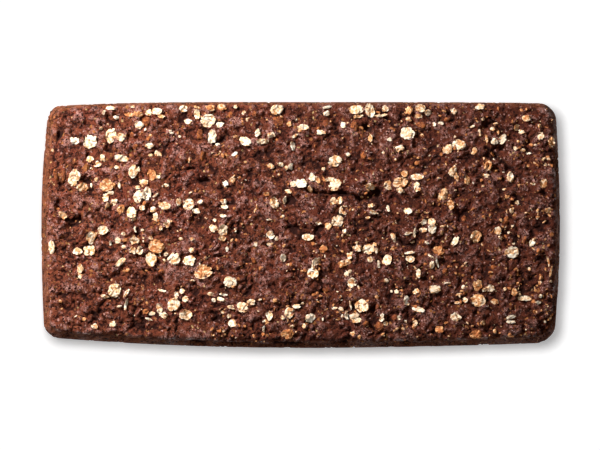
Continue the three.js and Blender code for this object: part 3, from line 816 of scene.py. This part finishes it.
# The smaller flakes and the broken ones, which lie over and between the big ones. Places and reaches along
# X and Y are given in millimetres from the middle of the loaf, then how toasted, then any tilt.
SMALL_FLAKES = [
    (-107.1, 40.1, 4.2, 3.6, 0.1), (-85.3, 41.7, 3.6, 3.8, 0.35), (-90, 55.5, 4, 3.4, 0.35),
    (-93.5, 53.4, 1.7, 2.6, 0.3), (-87.2, 51.1, 3, 2, 0.1), (-81.1, 52.6, 4.4, 2.2, 0.7),
    (-79.7, 56.2, 2, 2, 0.2), (-76.5, 52.6, 3.6, 3, 0.7), (-71.9, 53.4, 3.6, 3, 0.35),
    (-68.1, 53.9, 4.6, 3.4, 0.25), (-66, 51.8, 3.4, 2, 0.4), (-76.5, 47.6, 4.2, 3.4, 0.15),
    (-73.4, 45.3, 1.3, 1.3, 0.2), (-94.8, 45.9, 1.9, 1.6, 0.2), (-71.7, 37.8, 3.8, 2.8, 0.3),
    (-67.7, 33.9, 3.4, 3, 0.3), (-71, 32.9, 2.2, 1.5, 0.5), (-100, 31.2, 3.6, 3, 0.3),
    (-93.9, 31.8, 2.3, 3.4, 0.3), (-96.3, 28.9, 3.4, 3, 0.3), (-87.2, 27.6, 2, 1.6, 0.2),
    (-101.9, 27.6, 3.6, 3, 0.9), (-103.4, 18.1, 5.8, 4.2, 0.45), (-96.7, 21.7, 2, 2, 0.3),
    (-99.2, 18.8, 1, 2, 0.2), (-88.9, 18.8, 2.6, 3.2, 0.8), (-90, 15.2, 3.4, 2, 0.4),
    (-86, 19.2, 1.2, 3.6, 0.3), (-92.5, 12.9, 3, 4.2, 0.3), (-88.3, 11, 3.4, 3.2, 0.3),
    (-91.9, 9.1, 2, 3.6, 0.3, -30), (-76.7, 26.3, 1.6, 2.4, 0.1), (-67.5, 22.6, 2, 2, 0.4),
    (-74.4, 20.3, 4.6, 2.8, 0.3), (-77.1, 17.7, 2.8, 1.8, 0.3), (-64.1, 18.8, 3.2, 1.8, 0.3),
    (-72.9, 14.8, 4.4, 6.6, 0.1), (-68.7, 14.2, 3, 1, 0.1, 35), (-85.1, 7.4, 3.6, 4.4, 0.7),
    (-74.8, 8.3, 2.8, 2.6, 0.3), (-69.8, 7.4, 3, 3, 0.3), (-68.7, 4.1, 2.2, 4.2, 0.3),
    (-112.9, 4.9, 4.4, 2.6, 0.4, -35), (-79, 2.6, 2.2, 1.4, 0.3), (-63.3, 0.3, 3, 2.6, 0.3),
    (-99.4, -5.8, 4, 6.8, 0.35, -30), (-105.7, -12.6, 4.6, 3.4, 0.3), (-104.5, -20.8, 3.2, 4.6, 0.4),
    (-104.7, -24.1, 2, 3, 0.4), (-86.4, -7.3, 3, 3.4, 0.3), (-83.9, -4.1, 2, 2, 0.3),
    (-83.4, -7.1, 2, 2, 0.8), (-78.8, -7.5, 4.2, 3.6, 0.3), (-83.7, -10.3, 2.4, 1.6, 0.3),
    (-79.7, -11.9, 3, 3.2, 0.3), (-76.1, -11.9, 3, 4, 0.3), (-70.8, -16.1, 5.4, 6.2, 0.4),
    (-82.6, -21.4, 3, 1.8, 0.8), (-90.2, -8.4, 1, 2.6, 0.2), (-92.9, -34, 4.2, 1.8, 0.3),
    (-82.6, -32.3, 1.6, 4.4, 0.3, -35), (-82.8, -37.6, 1.4, 5.4, 0.2), (-85.8, -38.6, 2.4, 1.2, 0.3),
    (-65.6, -31.3, 3.6, 1.4, 0.2), (-97.7, -48.1, 3.4, 2.4, 0.3), (-89.1, -47, 3.2, 2.8, 0.4),
    (-73.4, -41.1, 2.6, 2.4, 0.8), (-70.4, -42, 3.4, 1.8, 0.3), (-66.8, -39.9, 2.8, 4.8, 0.3),
    (-71.7, -44.7, 3.8, 1, 0.1), (-65, -42.8, 4, 2.8, 0.3), (-78.4, -2, 1.2, 3, 0.2),
    (-75, -2.4, 1.6, 1.4, 0.3), (-66.2, -1.2, 1.6, 2.6, 0.2), (-71.1, -6.3, 2, 2, 0.3),
    (-63.7, -13.8, 2, 2, 0.3), (-55.3, 55.5, 4.4, 3.2, 0.3), (-49, 52.8, 3.2, 4.6, 0.3),
    (-53.2, 49.2, 3.6, 2.6, 0.1), (-49, 55.8, 3, 1.6, 0.6), (-42.7, 55.8, 4.6, 3, 0.7),
    (-38.3, 47.6, 4.4, 2.6, 0.05, 25), (-37.2, 56, 4.2, 2.6, 0.6), (-30.7, 56.2, 1.8, 2, 0.4),
    (-61.2, 44.4, 2.3, 2.6, 0.2), (-41.8, 42.1, 4.4, 6.6, 0.15), (-39.1, 38.1, 2, 1.4, 0.1),
    (-20.2, 43.8, 2.4, 4.2, 0.25), (-13.5, 42.9, 4, 2.8, 0.3), (-3.4, 37.7, 2.4, 4.4, 0.2),
    (-4.9, 48.2, 2.6, 2.4, 0.5), (-30.5, 42.1, 3, 1.6, 0.6), (-2.8, 42.3, 3.8, 1.2, 0.4, 25),
    (-31.1, 33.5, 3.2, 1.6, 0, 40), (-52.6, 30.8, 1, 2.8, 0.3), (-13.9, 28, 3.6, 2.4, 0.4),
    (-9.1, 28.9, 2.6, 2.2, 0.2), (-4.5, 27.8, 2, 3.2, 0.1), (-32.2, 21.5, 2.8, 2.8, 0.5),
    (-35.5, 19.8, 2.6, 2.8, 0.1), (-16, 14.8, 2.8, 1.8, 0.6), (-5.5, 15.8, 3.4, 2.2, 0.2),
    (-7.4, 11.8, 2.2, 3.6, 0.3), (-3.2, 19.4, 3, 3, 0.3), (5, 17.4, 2.2, 4, 0.5, 20),
    (-57.6, 11.2, 3, 4, 0.3), (-49.4, 6.6, 3.5, 2.6, 0.1), (-47.3, 11, 3, 2, 0.2),
    (-36, 11.2, 2.4, 2.2, 0.2), (-35.8, 8.7, 3.4, 2.4, 0.3), (-36.4, 4.3, 3.2, 1.6, 0.2),
    (-40.4, 2.2, 2, 1.6, 0.3), (-62, 1.6, 2.4, 1.4, 0.3), (-14.7, 2.6, 2.4, 0.8, 0.1),
    (-41.2, -1.6, 3.8, 4, 0.3), (-36.8, -2.3, 4.2, 4.8, 0.3), (-36.8, -6.3, 3.6, 2.6, 0.4),
    (-51.3, -6.7, 2, 1.8, 0.3), (-56.8, -6.5, 2, 1.6, 0.3), (-34.7, -11.5, 1.8, 2.2, 0.2),
    (-51.5, -11.9, 2.6, 2.4, 0.3), (-52.4, -17, 6, 4.6, 0.2, 15), (-44.6, -15.5, 2, 1.2, 0.3),
    (-14.1, -4.8, 4, 3.6, 0.2), (-11.2, -6.7, 2.4, 2, 0.3), (-14.5, -9, 3.2, 2, 0.3),
    (-21, -9.2, 2, 2.6, 0.3), (-8.2, -15.7, 2.8, 4, 0.3), (-42.5, -32.9, 3.4, 1.8, 0.3),
    (-36.2, -33.2, 4, 1, 0.1), (-37.6, -35.5, 3.2, 2, 0.3), (-41, -35.9, 2.2, 2, 0.3),
    (-54.7, -42.4, 5.6, 4.8, 0.35), (-58.7, -33.2, 2.2, 3.4, 0.2), (-56.1, -31.7, 2.4, 3, 0.2),
    (-54.7, -35.3, 3, 3.2, 0.3), (-32.6, -39, 3.8, 1.8, 0.2), (-23.2, -36.7, 3.8, 2.8, 0.3),
    (-33.7, -43.4, 2, 2, 0.3), (-32, -47, 4.2, 4, 0.2), (-14.5, -43, 3, 4.6, 0.2),
    (-16.4, -46, 2.8, 2.4, 0.4), (-17.5, -49.1, 1.2, 3.4, 0.2), (-17.5, -52, 1.8, 1.8, 0.9),
    (-1.7, -38.6, 4, 2.2, 0.3), (-8.2, -44.1, 2, 2, 0.3), (-3.6, -47.9, 2.6, 1, 0.2),
    (12.8, 56, 4.4, 1.4, 0, 10), (12.8, 53.2, 3.6, 2.2, 0.1), (27.3, 51.8, 4.4, 2, 0.4),
    (33.2, 54.5, 4.2, 6.4, 0.15, 25), (40.5, 55.3, 3.4, 3.2, 0.3), (38.4, 51.8, 5.6, 1.4, 0.3),
    (51.9, 54.7, 3.6, 4.4, 0.55), (60.9, 53.4, 3.4, 3.2, 0.2), (56.5, 51.8, 3.4, 2, 0.6),
    (51.7, 50.1, 3.2, 2.4, 0.5), (20.8, 47.6, 2.4, 3.4, 0.2), (9.9, 44, 4.4, 2.4, 0.2, -10),
    (33.4, 41, 2.4, 3.6, 0.5), (42.6, 40.6, 2.2, 2, 0.2), (47.1, 36.4, 4, 3, 0.2),
    (22.9, 33.5, 1.8, 1.8, 0.2), (11.1, 26.6, 1.6, 2, 0.3), (5.7, 22.7, 3, 4, 0.1),
    (8.4, 21.3, 2, 4, 0.5, 30), (13.9, 21.7, 5, 2, 0.4, 20), (16, 11.4, 3.4, 3.2, 0.3),
    (18.9, 11.8, 2.8, 4, 0.4), (19.5, 7.2, 1.8, 4, 0.4), (8.7, 0.9, 2.6, 1.2, 0.3),
    (13.4, -0.5, 3, 3.4, 0.6), (34.9, 5.9, 5, 2, 0.3), (32.1, 3.4, 2, 1.2, 0.3),
    (33.8, 8.9, 3.4, 2, 0.3), (51.1, 6.6, 4.2, 3, 0.3), (42, 18.8, 4, 4.6, 0.4),
    (47.5, 16.7, 3, 2.4, 0.2), (49.6, 24.4, 3.4, 3, 0.6), (55.7, 18.4, 3, 4, 0.3),
    (33.8, 18.2, 5, 3.6, 0.4), (62.6, 1.6, 3.4, 3, 0.3), (58.8, 1.2, 2.5, 3, 0.3),
    (63.9, 47.8, 1.6, 2, 0.1), (41.8, 7.6, 1.4, 3.6, 0.2), (10.7, -11.5, 3.8, 3.4, 0.8),
    (6.9, -17.9, 2.4, 6, 0.3, -30), (22.1, -23.3, 2.6, 2.8, 0.3), (21.2, -2.9, 1.8, 2.4, 0.3),
    (27.1, -10.9, 3.8, 3, 0.3), (35.5, -9.2, 2.2, 1.8, 0.3), (36.3, -12.1, 1.6, 3, 0.3),
    (33.4, -16.3, 2.8, 2.6, 0.3), (23.5, -14.7, 3.4, 4.4, 0.5), (21.2, -18, 6, 3, 0.6, 20),
    (37.4, -18.7, 1.4, 3.8, 0.2), (44.3, -5.8, 2.6, 4.6, 0.4), (51.3, -3.9, 3.6, 1.4, 0.2),
    (54.4, -3.5, 1.4, 4, 0.2), (58.6, -2.3, 3.4, 2.2, 0.3), (60.1, -8.4, 2.6, 1, 0.1, -25),
    (52.3, -16.1, 4.6, 3, 0.3), (52.1, -13.2, 4.4, 1.4, 0.2), (62.6, -18.7, 2.4, 3.4, 0.2),
    (56.3, -23.1, 2.4, 4, 0.3), (41, -26.4, 2.4, 2.2, 0.3), (46, -31.9, 2.4, 2.2, 0.3),
    (55.5, -31.5, 3.2, 3, 0.35), (26.1, -44.1, 5.6, 4.8, 0.3), (22.1, -43, 1.8, 3.8, 0.2),
    (23.9, -38, 1, 4, 0.2), (19.3, -40.1, 2.4, 2.4, 0.3), (16.6, -39.7, 3, 1, 0.2),
    (1.9, -47.9, 1.8, 2.4, 0.3), (25, -51.6, 2.4, 2.2, 0.4), (39.1, -43, 1.8, 2.4, 0.2),
    (38.7, -44.9, 2.6, 2, 0.2), (40.8, -46.8, 2.2, 2, 0.2), (50.8, -36, 3, 4.6, 0.2),
    (56, -40.2, 6, 2.6, 0.1), (54.8, -46.8, 2.8, 3.2, 0.4), (47.3, -44.1, 2, 2, 0.3),
    (73.1, 54.1, 3, 3.2, 0.3), (85.5, 56, 4.4, 3.4, 0.3), (86.8, 50.5, 2, 1.6, 0.4),
    (82.1, 46.9, 2.6, 1, 0.2), (67, 48.4, 2.6, 1.4, 0.2), (91.4, 45.7, 2.4, 2.2, 0.4),
    (70.2, 36, 4.6, 4.2, 0.4), (82.8, 35.2, 2.8, 3.4, 0.5), (92.2, 39.8, 3.4, 3, 0.2),
    (96.2, 40.6, 3.4, 4.6, 0.2, -25), (91.4, 33.5, 2.4, 2.2, 0.9), (103.1, 46.5, 3.4, 3, 0.5),
    (105.3, 44.2, 3.2, 2.6, 0.3), (107.8, 50.7, 4.2, 3, 0.4), (113.9, 46.9, 2, 2, 0.4),
    (114.5, 42.3, 3.4, 4, 0.4), (119.6, 39.6, 3.2, 4.8, 0.5), (102.5, 36.4, 2, 2, 0.3),
    (105.9, 35.6, 2.6, 1.4, 0.3), (108.6, 34.1, 2.4, 1, 0.3), (74.2, 22.8, 2, 3.6, 0.5),
    (79.4, 21.3, 3.2, 4.2, 0.6), (71.6, 9.7, 3.2, 4.8, 0.5), (88.4, 23.4, 3, 1.6, 0.4),
    (115.8, 19.6, 4, 4.4, 0.5), (103.2, 10.6, 2.2, 2.2, 0.4), (100.4, 6.8, 2, 2.6, 0.3),
    (118, 7, 3.4, 2.6, 0.5), (95.4, 2.4, 1.4, 1.4, 0.4), (85.5, 44, 1, 3.4, 0.4),
    (88.7, 41.3, 1.4, 4, 0.5, 15), (67.4, -3.7, 1.6, 2.4, 0.3), (73.7, -7.7, 3, 5, 0.2, -35),
    (94.1, -2.9, 3.6, 3.8, 0.4), (95, -5.8, 2, 1.6, 0.3), (110.5, -8.2, 3, 4, 0.1),
    (119.5, -4.4, 2, 2.4, 0.9), (84.7, -28.9, 4.8, 5.2, 0.7), (90.5, -30.2, 3.4, 3.8, 0.3),
    (87.6, -30.8, 2.4, 1.6, 0.3), (78.6, -35.5, 3, 2.4, 0.4), (74.8, -36.9, 2.4, 1.4, 0.4),
    (92.6, -36.5, 3.6, 2.6, 0.5), (101.9, -32.1, 3.2, 3.8, 0.6), (114.3, -33.8, 1.8, 2.2, 0.2),
    (113.2, -36.9, 3.2, 1.6, 0.3), (119.1, -26.8, 2, 1.4, 0.4), (109.2, -21, 1.4, 1.8, 0.3),
    (73.7, -43.9, 4.6, 4, 0.3), (86.8, -46.6, 2, 2.6, 0.3), (66.4, -49.7, 4.2, 3.4, 0.7),
    (100.2, -46, 4.6, 1.7, 0.1), (100.2, -43.6, 4.6, 1.7, 0.1), (100.2, -52.9, 3.2, 1.2, 0.6),
    (116.6, -45.8, 1.2, 1.2, 0.2), (118.2, -17, 1.1, 5, 0.5, 12), (119.2, -22.3, 1, 5.6, 0.5, -8),
    (62.2, -14.8, 3.6, 0.9, 0.1, -30), (65, -17.6, 1, 4.8, 0.2, 12), (70, -27.5, 3, 0.8, 0.2, 8),
]
SMALL_THICKNESS = 0.45 * MM
SMALL_LIFT = 0.45 * MM
SMALL_SPOKES = 26
SMALL_RINGS = 4
SMALL_RAGGEDNESS = 1.4
SMALL_TURN = 14  # how far a flake with no tilt in the list may be turned, in degrees
SMALL_TIP = 0.16

small_parts = []
for x_mm, y_mm, reach_x, reach_y, toast, *tilt in SMALL_FLAKES:
    turn = math.radians(tilt[0] if tilt else dice.uniform(-SMALL_TURN, SMALL_TURN))
    half_x, half_y = reach_x * MM / 2, reach_y * MM / 2
    rests_at = seat(x_mm * MM, y_mm * MM, half_x, half_y, turn)
    tip_x = Matrix.Rotation(dice.uniform(-SMALL_TIP, SMALL_TIP), 4, "X")
    tip_y = Matrix.Rotation(dice.uniform(-SMALL_TIP, SMALL_TIP), 4, "Y")
    rests_at = rests_at @ Matrix.Translation((0, 0, SMALL_LIFT)) @ (tip_x @ tip_y)
    points, shape_faces = flake_shape(
        half_x, half_y, SMALL_SPOKES, SMALL_RINGS, SMALL_THICKNESS, SMALL_RAGGEDNESS
    )
    small_parts.append(([rests_at @ point for point in points], shape_faces, toast))
oat_piece("small_rolled_oats", small_parts)


# Crumbs of broken flake and coarse meal, shaken on with the oats: thickest towards the right-hand end.
CRUMB_COUNT = 1350
CRUMB_SIZES = (0.32 * MM, 1.25 * MM)
CRUMB_SIDES = 7
CRUMB_RINGS = 2
CRUMB_LIFT = 0.1 * MM
CRUMB_PATCH = 8 * MM  # how broad the thicker and thinner patches of crumbs are

crumb_parts = []
while len(crumb_parts) < CRUMB_COUNT:
    x = dice.uniform(-0.96, 0.96) * half_length
    y = dice.uniform(-0.94, 0.94) * half_width
    thick_here = 0.3 + 0.4 * x / half_length + 1.3 * noise.noise(Vector((x, y, 0)) / CRUMB_PATCH)
    if dice.random() > thick_here or crust_under(x, y) is None:
        continue
    smallest, biggest = CRUMB_SIZES
    reach = smallest + (biggest - smallest) * dice.random() ** 1.8
    slim = dice.uniform(0.28, 0.9)
    rests_at = Matrix.Translation((x, y, crust_under(x, y) + CRUMB_LIFT))
    rests_at = rests_at @ Matrix.Rotation(dice.uniform(0, math.tau), 4, "Z")
    thick = dice.uniform(0.5, 0.9) * reach
    points, shape_faces = flake_shape(reach, reach * slim, CRUMB_SIDES, CRUMB_RINGS, thick)
    crumb_parts.append(([rests_at @ point for point in points], shape_faces, dice.uniform(0.3, 1.1)))
oat_piece("oat_crumbs", crumb_parts)


# Whole and cracked grain kernels in the dough, part of the loaf. They swelled and browned in the crust,
# shiny and rust-coloured, and show as low humps.
KERNELS = [
    (-73.2, 49.2, 4.4, 4.6), (-116.2, 23.8, 2.2, 6), (-112.4, 23, 2.5, 6.5), (-107, 29.7, 3, 2),
    (-78.2, 37.3, 2.6, 3), (-119, -48.3, 2, 3.4), (-33, 52.6, 3, 3.6), (-47.5, 43.2, 3.4, 6),
    (-46.3, 33.1, 2.4, 6), (-10.3, 49.5, 5, 5.8), (-21.7, 52.8, 3, 3), (12.2, 48.5, 3, 4),
    (57.6, 47.6, 4.6, 3.6), (98.1, 2.4, 3, 4.4), (106.7, -7.1, 1.8, 5), (37.8, -48.3, 4.6, 5),
    (45, -44, 3, 3), (31.5, -47, 3, 3), (36.8, -38.8, 2.2, 3.2), (-80, 43, 2.4, 3.4),
    (-72, 41, 2.2, 3.4), (-60, 27, 2.4, 3), (70, 50, 3, 2.6), (26, 47, 4, 5),
    (30, 33, 3, 4), (-66, -22, 3, 2.2), (58, -8, 3.4, 2.4), (78, 3, 2.6, 3.4),
    (92, -20, 3, 2.4), (69, -22, 2.6, 3.2), (12, -31, 3.4, 2.4), (-22, -17, 2.6, 3.2),
]
KERNEL_HEIGHT = 0.9 * MM
KERNEL_SINK = 0.35 * MM
KERNEL_SPOKES = 20
KERNEL_RINGS = 7
RUST = (0.19, 0.042, 0.012)
AMBER = (0.42, 0.125, 0.030)

kernel_points, kernel_faces = [], []
for x_mm, y_mm, reach_x, reach_y in KERNELS:
    half_x, half_y = reach_x * MM / 2, reach_y * MM / 2
    rests_at = seat(x_mm * MM, y_mm * MM, half_x, half_y, math.radians(dice.uniform(-15, 15)))
    seed = Vector((dice.uniform(0, 99), dice.uniform(0, 99), 0))
    start = len(kernel_points)
    for ring in range(1, KERNEL_RINGS):
        lean = math.pi * ring / KERNEL_RINGS
        for spoke in range(KERNEL_SPOKES):
            angle = math.tau * spoke / KERNEL_SPOKES
            out = Vector(
                (math.sin(lean) * math.cos(angle), math.sin(lean) * math.sin(angle), math.cos(lean))
            )
            uneven = 1 + 0.34 * noise.noise(out * 1.3 + seed) + 0.16 * noise.noise(out * 3.5 + seed)
            furrow = 0.24 * math.exp(-((out.x / 0.16) ** 2)) * max(0, out.z)
            local = Vector((half_x * out.x, half_y * out.y, KERNEL_HEIGHT * (out.z - furrow) - KERNEL_SINK))
            kernel_points.append(rests_at @ (local * uneven))
    for ring in range(KERNEL_RINGS - 2):
        for spoke in range(KERNEL_SPOKES):
            after = (spoke + 1) % KERNEL_SPOKES
            upper = start + ring * KERNEL_SPOKES
            lower = upper + KERNEL_SPOKES
            kernel_faces.append([upper + after, upper + spoke, lower + spoke, lower + after])
    kernel_faces.append([start + spoke for spoke in range(KERNEL_SPOKES)])
    foot = start + (KERNEL_RINGS - 2) * KERNEL_SPOKES
    kernel_faces.append([foot + spoke for spoke in reversed(range(KERNEL_SPOKES))])
kernel_mesh = bpy.data.meshes.new("grain_kernels")
kernel_mesh.from_pydata(kernel_points, [], kernel_faces)
kernel_mesh.shade_smooth()

kernel_material = bpy.data.materials.new("browned_kernel")
kernel_material.use_nodes = True
tree = kernel_material.node_tree
kernel_shader = tree.nodes["Principled BSDF"]
place = put(tree, "TexCoord").outputs["Object"]
browned = clouds(tree, place, 1.8, detail=3.0, distortion=1.2)
kernel_grain = clouds(tree, place, 0.8, detail=3.0, roughness=0.7, distortion=1.2)
colour = mixed(tree, between(tree, browned, 0.42, 0.58), RUST, AMBER)
colour = mixed(tree, between(tree, kernel_grain, 0.48, 0.60), colour, DARK_CRUST)
tree.links.new(colour, kernel_shader.inputs["Base Color"])
kernel_shader.inputs["Roughness"].default_value = 0.42
kernel_shader.inputs["Specular IOR Level"].default_value = 0.25
kernel_bump = put(tree, "Bump", None, Strength=1.0, Distance=0.9 * MM, Height=kernel_grain)
tree.links.new(kernel_bump.outputs["Normal"], kernel_shader.inputs["Normal"])
kernel_mesh.materials.append(kernel_material)
grain_kernels = bpy.data.objects.new("grain_kernels", kernel_mesh)
bpy.context.scene.collection.objects.link(grain_kernels)
loaf_lit.objects.link(grain_kernels)
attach(grain_kernels, "root")
